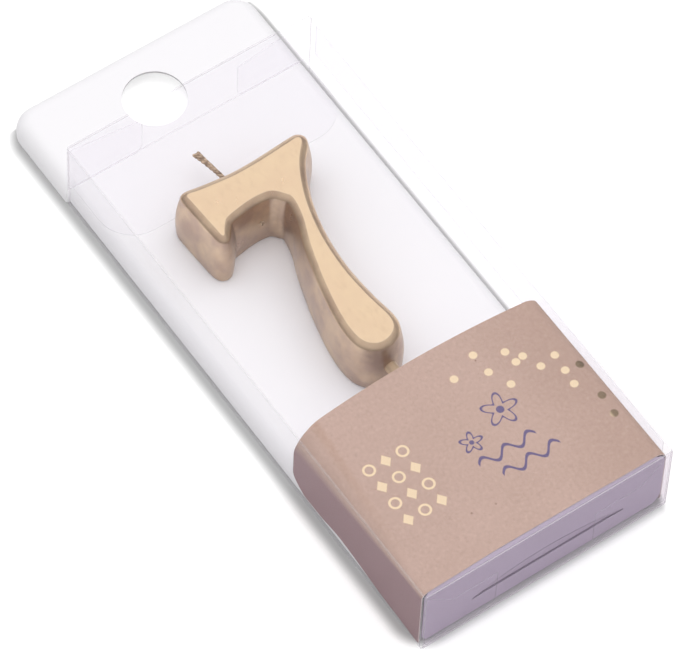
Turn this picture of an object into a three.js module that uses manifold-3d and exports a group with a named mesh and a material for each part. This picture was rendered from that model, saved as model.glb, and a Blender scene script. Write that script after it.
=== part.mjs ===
// A gold number candle, the numeral 7 on a pick, in the clear hanging case it is sold in.
// Millimetres. The case lies on its back: +Y runs to the hang tab, +Z comes out of the front panel.
// The origin is under the middle of everything, on the surface that the case lies on.
import * as THREE from 'three';
import { mergeVertices } from 'three/addons/utils/BufferGeometryUtils.js';
import Module from 'manifold-3d';

const wasm = await Module();
wasm.setup();

// Clear folding case
const caseWidth = 66;
const caseLength = 138;
const caseDepth = 22.4;
const sheet = 0.3;
const creaseRadius = 0.5;
const creaseGap = 0.1;
const lidSideInset = 0.5;
const glueFlapWidth = 11;
const glueFlapEndInset = 3;

// Flaps that close the two ends of the case
const tuckLength = 19.6;
const tuckSideInset = 1.5;
const tuckCornerRadius = 9;
const dustFlapLength = 20;
const dustFlapRise = 0.6;
const dustFlapDrop = 0.5;
const dustFlapTaper = 3.6;
const dustFlapCornerRadius = 2.5;
const bottomDustChamfer = 8;

// White tray with the hang tab
const tabReach = 25.4;
const tabRim = 0.1;
const tabGapToCase = 0.3;
const trayWall = 0.6;
const trayTop = 5.5;
const trayLeftGap = 0.2;
const trayRightGap = 0.8;
const trayRestGap = 0.15;
const shoulderRadius = 4;
const tabCornerRadius = 6;
const tabFootRadius = 0.8;
const trayFootCornerRadius = 4.6;
const hangHoleRadius = 7.5;
const hangHoleReach = 10.15;
const hangHoleShift = -2.6;

// Card pocket that holds the pick
const card = 0.5;
const cardGap = 0.1;
const pocketEndGap = 0.8;
const pocketGapToFront = 1.2;
const pocketHem = 3.7;
const pocketSideGap = 0.4;
const mouthLeftRadius = 7.5;
const mouthRightRadius = 4;
const footLeftRadius = 2;
const footRightRadius = 3.5;
const endPanelHem = 0.9;
const endPanelInset = 0.4;
const endPanelLowerRadius = 4;
const endSlitLength = 40.4;
const endSlitWidth = 0.6;
const endSlitHeight = 7;
const endSlitShift = 1.2;

// Wax numeral
const candleRestGap = 0.1;
const candleGapToFront = 1.2;
const candleGapToPocket = 6.2;
const candleGapToTuck = 2.3;
const candleShift = 0;
const faceRound = 1.2;
const backRound = 0.4;
const draft = 0.8;
const sideBulge = 0.6;
const outlineSteps = 104;

// Wick and pick
const wickRadius = 0.6;
const wickShift = -4.5;
const wickLength = 12.4;
const wickLean = 2.1;
const wickSunk = 12;
const pickRadius = 1.5;
const pickShift = -2.2;
const pickLength = 52;
const pickSunk = 15;
const pickTaper = 6;
const pickTipRadius = 0.5;
const holeClearance = 0.3;

// Outline of the numeral's front face, counted from the middle of the case and the foot of the face
const hookSide = [[-17.5, 55.1], [-16.8, 41.9]];
const hookTip = { control: [-16.7, 40.1], end: [-15.6, 40.9] };
const underBar = [[-13.7, 44], [-10.7, 45.9], [-6.6, 46.5], [-2.6, 46.5], [-0.6, 45.8], [0.9, 44.1]];
const stemLeft = [[1.9, 41.9], [0.8, 36.6], [-1.5, 30.8], [-3.3, 25.3], [-4.8, 20.1], [-6.5, 12.4]];
const footLeft = [-7.1, 6.6];
const foot = [[-6.5, 2.6], [-4.3, 0.3], [-1.4, 0], [1.4, 1.5], [2.5, 4.6]];
const stemRight = [[1.7, 11.5], [1.2, 20], [1.9, 29], [3.6, 36.8], [6, 43.4], [9.2, 49.2], [12.3, 52.8]];
const headCorner = { control: [13.9, 54.7], end: [12, 55.35] };
const barTop = [[7.1, 55], [0.8, 54.6], [-4.6, 54.6], [-9.1, 55], [-13.5, 55.6], [-16, 56.1]];
const hookCorner = { control: [-17.6, 56.4], end: hookSide[0] };

// Places that follow from the sizes
const overallLength = creaseGap + sheet + caseLength + tabReach;
const caseFootY = -overallLength / 2 + sheet + creaseGap;
const caseHeadY = caseFootY + caseLength;
const trayRim = 2 * sheet + trayRestGap;
const trayLeft = sheet + trayLeftGap - caseWidth / 2;
const trayRight = caseWidth / 2 - sheet - trayRightGap;
const pocketHalfWidth = caseWidth / 2 - sheet - pocketSideGap;
const pocketTop = caseDepth - sheet - pocketGapToFront;
const numeralHeight = barTop.at(-1)[1] + 2 * (faceRound + draft);
const roomPastPocket = candleGapToPocket + numeralHeight + candleGapToTuck + tuckLength;
const pocketLength = caseLength - pocketEndGap - roomPastPocket;
const endPanelY = caseFootY + pocketEndGap;
const pocketFootY = endPanelY + card + cardGap;
const pocketMouthY = endPanelY + pocketLength;
const trayFootY = pocketFootY;
const trayHeadY = caseHeadY + tabReach;
const candleFootY = pocketMouthY + candleGapToPocket;
const candleBackZ = trayTop + candleRestGap;
const candleThickness = caseDepth - sheet - candleGapToFront - candleBackZ;
const candleMiddleZ = candleBackZ + candleThickness / 2;

// Turns a three.js geometry into a solid that can be cut
function toSolid(geometry) {
  const bare = geometry.clone();
  bare.deleteAttribute('normal');
  bare.deleteAttribute('uv');
  const merged = mergeVertices(bare, 1e-5);
  const vertProperties = Float32Array.from(merged.attributes.position.array);
  const triVerts = Uint32Array.from(merged.index.array);
  return new wasm.Manifold(new wasm.Mesh({ numProp: 3, vertProperties, triVerts }));
}

function toGeometry(solid) {
  const mesh = solid.getMesh();
  const geometry = new THREE.BufferGeometry();
  geometry.setAttribute('position', new THREE.BufferAttribute(mesh.vertProperties, 3));
  geometry.setIndex(new THREE.BufferAttribute(mesh.triVerts, 1));
  geometry.computeVertexNormals();
  return geometry;
}

function finish(name, geometry, color, roughness, metalness, opacity = 1) {
  const material = new THREE.MeshStandardMaterial({ color, roughness, metalness });
  material.opacity = opacity;
  material.transparent = opacity < 1;
  const mesh = new THREE.Mesh(geometry, material);
  mesh.name = name;
  return mesh;
}

const clearFinish = (name, geometry) => finish(name, geometry, 0xf3f1f8, 0.08, 0, 0.25);

// A flat piece whose outline stands in the X-Z plane, from y = 0 towards -Y
function uprightPlate(shape, thickness, curveSegments = 8) {
  const options = { depth: thickness, bevelEnabled: false, curveSegments };
  const geometry = new THREE.ExtrudeGeometry(shape, options);
  geometry.rotateX(Math.PI / 2);
  return geometry;
}

// A solid through rings that all have the same number of points, closed at both ends
function loft(rings, flatten) {
  const count = rings[0].length;
  const positions = rings.flat().flatMap((point) => [point.x, point.y, point.z]);
  const triangles = [];
  for (let ring = 0; ring < rings.length - 1; ring += 1) {
    for (let i = 0; i < count; i += 1) {
      const a = ring * count + i;
      const b = ring * count + ((i + 1) % count);
      triangles.push(a, b, b + count, a, b + count, a + count);
    }
  }
  const cap = (ring) => THREE.ShapeUtils.triangulateShape(rings[ring].map(flatten), []);
  const last = rings.length - 1;
  for (const [a, b, c] of cap(0)) triangles.push(c, b, a);
  for (const [a, b, c] of cap(last)) triangles.push(last * count + a, last * count + b, last * count + c);
  const geometry = new THREE.BufferGeometry();
  geometry.setAttribute('position', new THREE.Float32BufferAttribute(positions, 3));
  geometry.setIndex(triangles);
  return geometry;
}

// Points round a rectangle with its own radius at each corner, from the lower left one, anticlockwise
function roundedRectangle(left, right, low, high, radii, inset = 0, steps = 8) {
  const [lowLeft, lowRight, highRight, highLeft] = radii.map((radius) => Math.max(radius - inset, 0.05));
  const corners = [
    [left + inset + lowLeft, low + inset + lowLeft, lowLeft, Math.PI],
    [right - inset - lowRight, low + inset + lowRight, lowRight, 1.5 * Math.PI],
    [right - inset - highRight, high - inset - highRight, highRight, 0],
    [left + inset + highLeft, high - inset - highLeft, highLeft, 0.5 * Math.PI],
  ];
  return corners.flatMap(([x, y, radius, start]) => Array.from({ length: steps + 1 }, (_, i) => {
    const angle = start + (i / steps) * Math.PI / 2;
    return new THREE.Vector2(x + radius * Math.cos(angle), y + radius * Math.sin(angle));
  }));
}

// The clear sheet, folded into a tube, with its side panels cut back for the dust flaps
function caseSleeve() {
  const half = caseWidth / 2;
  const creases = Array(4).fill(creaseRadius);
  const ring = (inset) => roundedRectangle(-half, half, 0, caseDepth, creases, inset, 3);
  const section = new THREE.Shape(ring(0));
  section.holes.push(new THREE.Path(ring(sheet)));
  const tube = uprightPlate(section, caseLength);
  tube.translate(0, caseHeadY, 0);
  let solid = toSolid(tube);
  const recess = sheet + 2 * creaseGap;
  const recessLow = sheet + creaseGap;
  const recessHeight = caseDepth - sheet - recessLow;
  for (const side of [-1, 1]) {
    for (const end of [caseHeadY, caseFootY]) {
      const cut = new THREE.BoxGeometry(2 * sheet, 2 * recess, recessHeight);
      cut.translate(side * half, end, recessLow + recessHeight / 2);
      solid = solid.subtract(toSolid(cut));
    }
  }
  return clearFinish('case_sleeve', toGeometry(solid));
}

// The sheet's own edge strip, glued inside the right side panel
function glueFlap() {
  const length = caseLength - 2 * glueFlapEndInset;
  const geometry = new THREE.BoxGeometry(sheet, length, glueFlapWidth);
  const mesh = clearFinish('case_glue_flap', geometry);
  const highEdge = caseDepth - creaseRadius - creaseGap;
  mesh.position.set(caseWidth / 2 - sheet * 1.5, (caseHeadY + caseFootY) / 2, highEdge - glueFlapWidth / 2);
  return mesh;
}

// An end panel of the case, hung from the front panel: end is 1 at the hang tab and -1 at the foot
function lidPanel(name, end, lowEdge) {
  const height = caseDepth - lowEdge;
  const geometry = new THREE.BoxGeometry(caseWidth - 2 * lidSideInset, sheet, height);
  const mesh = clearFinish(name, geometry);
  const edge = end > 0 ? caseHeadY : caseFootY;
  mesh.position.set(0, edge + end * (creaseGap + sheet / 2), lowEdge + height / 2);
  return mesh;
}

// The lid's tongue, which lies flat inside the case
function tuckFlap(name, end, lowFace) {
  const half = caseWidth / 2 - tuckSideInset;
  const radii = [tuckCornerRadius, tuckCornerRadius, 0, 0];
  const outline = roundedRectangle(-half, half, -tuckLength, 0, radii);
  const options = { depth: sheet, bevelEnabled: false };
  const geometry = new THREE.ExtrudeGeometry(new THREE.Shape(outline), options);
  const mesh = clearFinish(name, geometry);
  if (end > 0) mesh.position.set(0, caseHeadY, lowFace);
  else {
    mesh.rotation.z = Math.PI;
    mesh.position.set(0, caseFootY, lowFace);
  }
  return mesh;
}

// A dust flap, folded in across the end from a side panel: side is -1 on the left
function dustFlap(name, side, end, lowEdge) {
  const highEdge = caseDepth - sheet - creaseGap - dustFlapDrop;
  const outline = new THREE.Shape();
  outline.moveTo(0, lowEdge);
  outline.lineTo(dustFlapLength - dustFlapCornerRadius, lowEdge);
  outline.quadraticCurveTo(dustFlapLength, lowEdge, dustFlapLength, lowEdge + dustFlapCornerRadius);
  if (end > 0) {
    outline.lineTo(dustFlapLength, highEdge - dustFlapTaper);
  } else {
    outline.lineTo(dustFlapLength, highEdge - bottomDustChamfer);
    outline.lineTo(bottomDustChamfer, highEdge - bottomDustChamfer);
  }
  outline.lineTo(0, highEdge);
  const geometry = uprightPlate(outline, sheet);
  const mesh = clearFinish(name, geometry);
  const outward = end > 0 ? caseHeadY - creaseGap : caseFootY + creaseGap + sheet;
  mesh.position.set(side * caseWidth / 2, outward, 0);
  if (side > 0) {
    mesh.rotation.z = Math.PI;
    mesh.position.y = outward - sheet;
  }
  return mesh;
}

// One soft-shouldered block of the tray, or with an inset the hollow inside it
function trayBlock(left, foot, head, radii, inset, low) {
  const top = trayTop - inset;
  const radius = shoulderRadius - inset;
  const ringAt = (extra, z) => roundedRectangle(left, trayRight, foot, head, radii, inset + extra)
    .map((point) => new THREE.Vector3(point.x, point.y, z));
  const steps = 6;
  const shoulder = Array.from({ length: steps + 1 }, (_, i) => {
    const angle = (i / steps) * Math.PI / 2;
    return ringAt(radius * (1 - Math.cos(angle)), top - radius * (1 - Math.sin(angle)));
  });
  return toSolid(loft([ringAt(0, low), ...shoulder], (point) => new THREE.Vector2(point.x, point.y)));
}

// The tray is a moulded shell. Its tab, outside the case, is flush with the case's left side.
function tray() {
  const tabFootY = caseHeadY + tabGapToCase;
  const bodyHeadY = tabFootY + 2 * shoulderRadius;
  const bodyRadii = Array(4).fill(trayFootCornerRadius);
  const tabRadii = [tabFootRadius, tabFootRadius, tabCornerRadius, tabCornerRadius];
  const body = (inset, low) => trayBlock(trayLeft, trayFootY, bodyHeadY, bodyRadii, inset, low);
  const tab = (inset, low) => trayBlock(-caseWidth / 2, tabFootY, trayHeadY, tabRadii, inset, low);
  const hole = new THREE.CylinderGeometry(hangHoleRadius, hangHoleRadius, 2 * trayTop, 40);
  hole.rotateX(Math.PI / 2);
  hole.translate(hangHoleShift, caseHeadY + hangHoleReach, trayTop);
  const outside = body(0, trayRim).add(tab(0, tabRim));
  const belowRims = tabRim - trayWall;
  const inside = body(trayWall, belowRims).add(tab(trayWall, belowRims));
  const solid = outside.subtract(inside).subtract(toSolid(hole));
  return finish('tray', toGeometry(solid), 0xf6f4f9, 0.55, 0);
}

// Upper half of the pocket's section: up the left side, over the front and down the right side
function pocketArch(leftRadius, rightRadius, inset, hem, steps = 8) {
  const half = pocketHalfWidth - inset;
  const top = pocketTop - inset;
  const left = leftRadius - inset;
  const right = rightRadius - inset;
  const points = [new THREE.Vector2(-half, hem)];
  for (let i = 0; i <= steps; i += 1) {
    const angle = Math.PI - (i / steps) * Math.PI / 2;
    const across = left * Math.cos(angle);
    points.push(new THREE.Vector2(left - half + across, top - left + left * Math.sin(angle)));
  }
  for (let i = 0; i <= steps; i += 1) {
    const angle = Math.PI / 2 - (i / steps) * Math.PI / 2;
    const across = right * Math.cos(angle);
    points.push(new THREE.Vector2(half - right + across, top - right + right * Math.sin(angle)));
  }
  points.push(new THREE.Vector2(half, hem));
  return points;
}

// The brown card band over the front and sides, softer at its mouth than at its foot
function kraftBand() {
  const ringAt = (y, leftRadius, rightRadius) => {
    const outer = pocketArch(leftRadius, rightRadius, 0, pocketHem);
    const inner = pocketArch(leftRadius, rightRadius, card, pocketHem).reverse();
    return [...outer, ...inner].map((point) => new THREE.Vector3(point.x, y, point.y));
  };
  const rings = [
    ringAt(pocketMouthY, mouthLeftRadius, mouthRightRadius),
    ringAt((pocketMouthY + pocketFootY) / 2, (mouthLeftRadius + footLeftRadius) / 2, footRightRadius),
    ringAt(pocketFootY, footLeftRadius, footRightRadius),
  ];
  const geometry = loft(rings.reverse(), (point) => new THREE.Vector2(point.x, -point.z));
  return finish('kraft_band', toGeometry(toSolid(geometry)), 0xc3aa9b, 0.85, 0);
}

// White card across the pocket's mouth, with a hole for the pick
function mouthPanel() {
  const inset = card + cardGap;
  const outline = new THREE.Shape(pocketArch(mouthLeftRadius, mouthRightRadius, inset, trayTop + cardGap));
  const hole = new THREE.Path();
  hole.absarc(pickShift + candleShift, candleMiddleZ, pickRadius + holeClearance, 0, 2 * Math.PI);
  outline.holes.push(hole);
  const mesh = finish('pocket_mouth_panel', uprightPlate(outline, card, 12), 0xefecf2, 0.8, 0);
  mesh.position.y = pocketMouthY - cardGap;
  return mesh;
}

// White card across the pocket's foot, with the half-moon slit
function endPanel() {
  const half = pocketHalfWidth - endPanelInset;
  const high = pocketTop - endPanelInset;
  const radii = [endPanelLowerRadius, endPanelLowerRadius, footRightRadius, footLeftRadius];
  const outline = new THREE.Shape(roundedRectangle(-half, half, endPanelHem, high, radii));
  const slitHalf = endSlitLength / 2;
  const slit = new THREE.Path();
  const slitBow = endSlitHeight + 2 * endSlitWidth;
  slit.moveTo(endSlitShift - slitHalf, endSlitHeight);
  slit.lineTo(endSlitShift + slitHalf, endSlitHeight);
  slit.quadraticCurveTo(endSlitShift, slitBow, endSlitShift - slitHalf, endSlitHeight);
  outline.holes.push(slit);
  const mesh = finish('pocket_end_panel', uprightPlate(outline, card, 10), 0xe3dce8, 0.7, 0);
  mesh.position.y = endPanelY + card;
  return mesh;
}

// The numeral's face outline as one closed curve
function faceOutline() {
  const shape = new THREE.Shape();
  const vectors = (points) => points.map(([x, y]) => new THREE.Vector2(x, y));
  shape.moveTo(...hookSide[0]);
  shape.lineTo(...hookSide[1]);
  shape.quadraticCurveTo(...hookTip.control, ...hookTip.end);
  shape.splineThru(vectors([...underBar, ...stemLeft, footLeft, ...foot, ...stemRight]));
  shape.quadraticCurveTo(...headCorner.control, ...headCorner.end);
  shape.splineThru(vectors(barTop));
  shape.quadraticCurveTo(...hookCorner.control, ...hookCorner.end);
  return shape.getSpacedPoints(outlineSteps).slice(0, outlineSteps);
}

// The outline moved outwards along its normals
function grown(outline, distance) {
  const count = outline.length;
  return outline.map((point, i) => {
    const along = outline[(i + 1) % count].clone().sub(outline[(i + count - 1) % count]).normalize();
    return new THREE.Vector2(point.x + along.y * distance, point.y - along.x * distance);
  });
}

const face = faceOutline();
const sideGrowth = faceRound + draft;
const shoulderOutline = grown(face, faceRound);
const backOutline = grown(face, sideGrowth);
const lowest = (outline) => Math.min(...outline.map((point) => point.y));

// Where an upright line at x last meets an outline, at its head (1) or its foot (-1)
function outlineEnd(outline, x, end) {
  const heights = outline.flatMap((point, i) => {
    const next = outline[(i + 1) % outline.length];
    if ((point.x - x) * (next.x - x) > 0 || point.x === next.x) return [];
    return [point.y + (next.y - point.y) * (x - point.x) / (next.x - point.x)];
  });
  return end > 0 ? Math.max(...heights) : Math.min(...heights);
}

const numeralBaseY = -lowest(backOutline);
const headY = numeralBaseY + outlineEnd(shoulderOutline, wickShift, 1);
const footY = numeralBaseY + outlineEnd(shoulderOutline, pickShift, -1);

// The wax body: flat back, full sides drawn in towards the face, and a softly rounded front edge
function candleWax() {
  const ringAt = (distance, z) => grown(face, distance)
    .map((point) => new THREE.Vector3(point.x, point.y + numeralBaseY, z));
  const half = candleThickness / 2;
  const sideLow = backRound - half;
  const sideHigh = half - faceRound;
  const rings = [ringAt(faceRound + draft - backRound, -half)];
  const sideSteps = 4;
  for (let i = 0; i < sideSteps; i += 1) {
    const rise = i / sideSteps;
    const bulge = sideBulge * Math.sin(rise * Math.PI);
    rings.push(ringAt(faceRound + draft * (1 - rise) + bulge, sideLow + rise * (sideHigh - sideLow)));
  }
  const steps = 4;
  for (let i = 0; i <= steps; i += 1) {
    const angle = (i / steps) * Math.PI / 2;
    rings.push(ringAt(faceRound * Math.cos(angle), sideHigh + faceRound * Math.sin(angle)));
  }
  const blindHole = (radius, depth, x, y, sides) => {
    const wide = radius + holeClearance;
    const hole = new THREE.CylinderGeometry(wide, wide, 2 * depth, sides);
    hole.translate(x, y, 0);
    return toSolid(hole);
  };
  const body = toSolid(loft(rings, (point) => new THREE.Vector2(point.x, point.y)));
  const wickHole = blindHole(wickRadius, wickSunk, wickShift, headY, 12);
  const pickHole = blindHole(pickRadius, pickSunk, pickShift, footY, 16);
  const solid = body.subtract(wickHole).subtract(pickHole);
  return finish('candle_wax', toGeometry(solid), 0xd9b882, 0.32, 0.7);
}

// The wick, sunk in the head of the numeral and leaning a little outside it
function wick() {
  const section = new THREE.Shape();
  section.absarc(0, 0, wickRadius, 0, 2 * Math.PI);
  const start = headY - wickSunk + holeClearance;
  const route = new THREE.CatmullRomCurve3([
    new THREE.Vector3(wickShift, start, 0),
    new THREE.Vector3(wickShift, (start + headY) / 2, 0),
    new THREE.Vector3(wickShift, headY, 0),
    new THREE.Vector3(wickShift - wickLean / 3, headY + wickLength / 2, 0),
    new THREE.Vector3(wickShift - wickLean, headY + wickLength, 0),
  ]);
  const options = { steps: 16, curveSegments: 2, extrudePath: route, bevelEnabled: false };
  const geometry = new THREE.ExtrudeGeometry(section, options);
  return finish('wick', toGeometry(toSolid(geometry)), 0x9c7f5b, 0.8, 0.1);
}

// The pick, sunk in the foot of the numeral and tapered where it goes into a cake
function pick() {
  const head = footY + pickSunk - holeClearance;
  const tip = head - pickLength;
  const profile = [
    new THREE.Vector2(0, tip),
    new THREE.Vector2(pickTipRadius, tip),
    new THREE.Vector2(pickRadius, tip + pickTaper),
    new THREE.Vector2(pickRadius, head),
    new THREE.Vector2(0, head),
  ];
  const geometry = new THREE.LatheGeometry(profile, 16);
  const mesh = finish('candle_pick', toGeometry(toSolid(geometry)), 0xcfae74, 0.35, 0.6);
  mesh.position.x = pickShift;
  return mesh;
}

const part = new THREE.Group();
part.add(caseSleeve(), glueFlap());

const topTuckLow = trayTop + creaseGap;
const bottomTuckLow = sheet + trayRestGap / 2;
part.add(lidPanel('top_lid_panel', 1, topTuckLow), tuckFlap('top_tuck_flap', 1, topTuckLow));
part.add(lidPanel('bottom_lid_panel', -1, bottomTuckLow), tuckFlap('bottom_tuck_flap', -1, bottomTuckLow));
for (const [sideName, side] of [['left', -1], ['right', 1]]) {
  part.add(dustFlap(`top_dust_flap_${sideName}`, side, 1, topTuckLow + dustFlapRise));
  part.add(dustFlap(`bottom_dust_flap_${sideName}`, side, -1, bottomTuckLow + dustFlapRise));
}

part.add(tray(), kraftBand(), mouthPanel(), endPanel());

const candle = new THREE.Group();
candle.position.set(candleShift, candleFootY, candleMiddleZ);
candle.add(candleWax(), wick(), pick());
part.add(candle);

export default part;
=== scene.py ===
# %% [markdown]
# # A number candle in its hanging case
# A gold wax numeral stands on a pick. A brown card pocket holds the pick, a white moulded tray carries the
# pocket and ends in the hang tab, and a clear folding case closes over all of it.
# The frame comes from CAD and already has each part's place, size and motion. Here the visible parts get their
# real form and finish. Blender counts in metres, so sizes in millimetres are written with MM.

import math

import bmesh
import bpy
from mathutils import Matrix, Vector


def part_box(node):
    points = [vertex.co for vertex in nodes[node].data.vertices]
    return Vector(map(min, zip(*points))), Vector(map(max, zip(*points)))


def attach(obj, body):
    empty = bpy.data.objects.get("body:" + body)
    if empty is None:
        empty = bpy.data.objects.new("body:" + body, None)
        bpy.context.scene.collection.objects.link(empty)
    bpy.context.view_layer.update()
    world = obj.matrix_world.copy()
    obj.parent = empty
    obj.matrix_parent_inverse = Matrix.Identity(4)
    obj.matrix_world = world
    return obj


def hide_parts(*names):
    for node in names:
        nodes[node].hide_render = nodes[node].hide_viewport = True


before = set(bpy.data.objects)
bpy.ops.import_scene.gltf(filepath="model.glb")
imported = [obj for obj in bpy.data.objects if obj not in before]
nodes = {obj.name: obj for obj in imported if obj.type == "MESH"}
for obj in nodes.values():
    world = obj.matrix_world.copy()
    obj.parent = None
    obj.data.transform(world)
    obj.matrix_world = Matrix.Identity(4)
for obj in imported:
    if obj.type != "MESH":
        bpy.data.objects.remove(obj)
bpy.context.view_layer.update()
MM = 0.001

# %% [markdown]
# ## Camera
# The pack lies on its back and is seen from above, past its lower left corner, through a long lens. A long lens
# far away keeps the case's edges nearly parallel, as in the picture. The direction is given as a compass angle, a
# height above the table and a small roll, and the camera is then set back from one point on the table.

# %% Place the camera
azimuth, elevation, roll = (math.radians(v) for v in (-37.28, 57.80, 2.95))
camera_distance = 1263.35 * MM
camera_target = Vector((-1.03 * MM, -5.26 * MM, 0))
forward = Vector((-math.sin(azimuth) * math.cos(elevation),
                  math.cos(azimuth) * math.cos(elevation),
                  -math.sin(elevation)))
level_right = Vector((math.cos(azimuth), math.sin(azimuth), 0))
level_up = level_right.cross(forward)
camera_right = level_right * math.cos(roll) + level_up * math.sin(roll)
camera_up = level_up * math.cos(roll) - level_right * math.sin(roll)
bpy.ops.object.camera_add(location=camera_target - forward * camera_distance)
camera = bpy.context.object
camera.rotation_euler = Matrix((camera_right, camera_up, -forward)).transposed().to_euler()
camera.data.lens = 300
camera.data.sensor_width = 36
camera.data.clip_end = 20
bpy.context.scene.camera = camera
print("Camera at", [round(v, 3) for v in camera.location])

# %% [markdown]
# ## A few helpers for materials
# Every finish here is a small tree of nodes, so that it follows the surface from every side and needs no picture.
# A few helpers keep the trees short. The main ones add a node and link what goes into it, do arithmetic, turn the
# piece's own coordinates into millimetres, and start a material.

# %% Helpers for materials
ACROSS, ALONG, UP = range(3)


def node(tree, kind, feeds=(), out=0, **settings):
    made = tree.nodes.new("ShaderNode" + kind)
    for name, value in settings.items():
        setattr(made, name, value)
    for key, value in dict(feeds).items():
        if isinstance(value, bpy.types.NodeSocket):
            tree.links.new(value, made.inputs[key])
        else:
            made.inputs[key].default_value = value
    return made.outputs[out]


def maths(tree, operation, *values):
    return node(tree, "Math", enumerate(values), operation=operation)


def remap(tree, value, low, high, to_low, to_high, style="LINEAR"):
    feeds = {"Value": value, "From Min": low, "From Max": high, "To Min": to_low, "To Max": to_high}
    return node(tree, "MapRange", feeds, interpolation_type=style)


def colours(tree, share, first, second):
    return node(tree, "Mix", {0: share, 6: first, 7: second}, out=2, data_type="RGBA")


def in_mm(tree, place, *axes):
    parts = node(tree, "SeparateXYZ", {0: place}).node
    return [maths(tree, "MULTIPLY", parts.outputs[axis], 1 / MM) for axis in axes]


def noise_on(tree, place, scale, detail=3.0, roughness=0.6):
    return node(tree, "TexNoise", {"Vector": place, "Scale": scale, "Detail": detail, "Roughness": roughness})


def start_material(name):
    made = bpy.data.materials.new(name)
    made.use_nodes = True
    tree = made.node_tree
    shader = tree.nodes["Principled BSDF"]
    place = node(tree, "TexCoord", out="Object")
    return made, tree, shader, place


def link(tree, shader, **values):
    for name, value in values.items():
        tree.links.new(value, shader.inputs[name.replace("_", " ")])


def dress(piece, *materials):
    piece.data.materials.clear()
    for made in materials:
        piece.data.materials.append(made)


print("Helpers ready")

# %% [markdown]
# ## Floor, world and lamps
# The table is plain and pale. Rays from the camera get a little light of the floor's own, so it shows white.
# Only a narrow ring under the pack's edge gets less of it and a darker colour, a painted shadow that keeps the
# soft dark line under the tray. A patch of floor under the hang hole gets more of it, painted light that keeps
# the hole white. The world is bright overhead and dimmer at the horizon, which makes the sides of the pack
# darker than its front and gives the gold something to mirror. Two big soft lamps hang overhead, the stronger
# one a little to the right. Glossy rays pass the lamps by, so the gold mirrors the even world alone and shows
# no lamp-shaped streak along its bevel.

# %% Make the floor
floor_level = -0.03
ring_left, ring_right, ring_foot, ring_head, ring_round = -27, 31, -74.2, 74, 6.0
right_fall, head_fall, head_fall_from = 3.0, 2.0, 80
hole_x, hole_radius, hole_light_y = -2.6, 7.5, 66.6


def make_floor():
    made, tree, shader, place = start_material("studio_floor")
    x, y = in_mm(tree, place, ACROSS, ALONG)
    past_left = maths(tree, "SUBTRACT", ring_left, x)
    past_right = maths(tree, "MULTIPLY_ADD", x, right_fall, -right_fall * ring_right)
    across = maths(tree, "MAXIMUM", past_left, past_right)
    along = maths(tree, "MAXIMUM", maths(tree, "SUBTRACT", ring_foot, y), maths(tree, "SUBTRACT", y, ring_head))
    outer = [maths(tree, "MAXIMUM", past, 0.0) for past in (across, along)]
    corner = node(tree, "CombineXYZ", {0: outer[0], 1: outer[1]})
    reach = node(tree, "VectorMath", {0: corner}, out="Value", operation="LENGTH")
    away = maths(tree, "SUBTRACT", reach, ring_round)
    past_head = maths(tree, "MAXIMUM", maths(tree, "SUBTRACT", y, head_fall_from), 0.0)
    away = maths(tree, "MULTIPLY_ADD", past_head, head_fall, away)
    outside = remap(tree, away, 0.4, 4.0, 0.0, 1.0, "SMOOTHSTEP")
    well_inside = remap(tree, away, -5.5, -2.5, 1.0, 0.0, "SMOOTHSTEP")
    open_floor = maths(tree, "MAXIMUM", outside, well_inside)
    path = node(tree, "LightPath").node
    # Painted shadow: rays from the camera see the floor darker in a ring under the pack's edge.
    painted_shadow = maths(tree, "MULTIPLY", maths(tree, "SUBTRACT", 1.0, open_floor), path.outputs["Is Camera Ray"])
    shade = remap(tree, painted_shadow, 0.0, 1.0, 0.80, 0.40)
    tree.links.new(node(tree, "CombineColor", {0: shade, 1: shade, 2: shade}), shader.inputs["Base Color"])
    shader.inputs["Roughness"].default_value = 0.9
    shader.inputs["Specular IOR Level"].default_value = 0.1
    seen = maths(tree, "MAXIMUM", path.outputs["Is Camera Ray"], path.outputs["Is Glossy Ray"])
    seen = maths(tree, "MAXIMUM", seen, path.outputs["Is Transmission Ray"])
    # Painted light: under the hang hole the floor glows more, so the hole shows white.
    painted_light_distance = node(tree, "VectorMath", {0: place, 1: (hole_x * MM, hole_light_y * MM, floor_level * MM)},
                      out="Value", operation="DISTANCE")
    own_light = maths(tree, "MAXIMUM", remap(tree, painted_light_distance, 11.5 * MM, 14.0 * MM, 0.68, 0.0, "SMOOTHSTEP"),
                      remap(tree, painted_shadow, 0.0, 1.0, 0.40, 0.10))
    glow = node(tree, "Emission", {"Strength": maths(tree, "MULTIPLY", seen, own_light)}, out=0)
    both = node(tree, "AddShader", {0: shader.outputs[0], 1: glow})
    tree.links.new(both, tree.nodes["Material Output"].inputs["Surface"])
    bpy.ops.object.select_all(action="DESELECT")
    bpy.ops.mesh.primitive_plane_add(size=8, location=(0, 0, floor_level * MM))
    floor = bpy.context.object
    floor.name = "studio_floor"
    dress(floor, made)
    return floor


floor = make_floor()
print("Floor is", round(floor.dimensions.x, 1), "m wide")

# %% Light the scene
def make_world(overhead=0.90, horizon=0.20):
    world = bpy.data.worlds.new("studio_world")
    bpy.context.scene.world = world
    world.use_nodes = True
    tree = world.node_tree
    direction = node(tree, "TexCoord", out="Generated")
    height = node(tree, "SeparateXYZ", {0: direction}, out="Z")
    level = remap(tree, height, 0.18, 0.72, horizon, overhead, "SMOOTHSTEP")
    lean = node(tree, "VectorMath", {0: direction, 1: (0.10, 0.22, 0.0)}, out="Value", operation="DOT_PRODUCT")
    level = maths(tree, "MULTIPLY", level, maths(tree, "ADD", 1.0, lean))
    background = tree.nodes["Background"]
    background.inputs["Color"].default_value = (1.0, 0.995, 1.0, 1)
    tree.links.new(level, background.inputs["Strength"])


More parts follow.
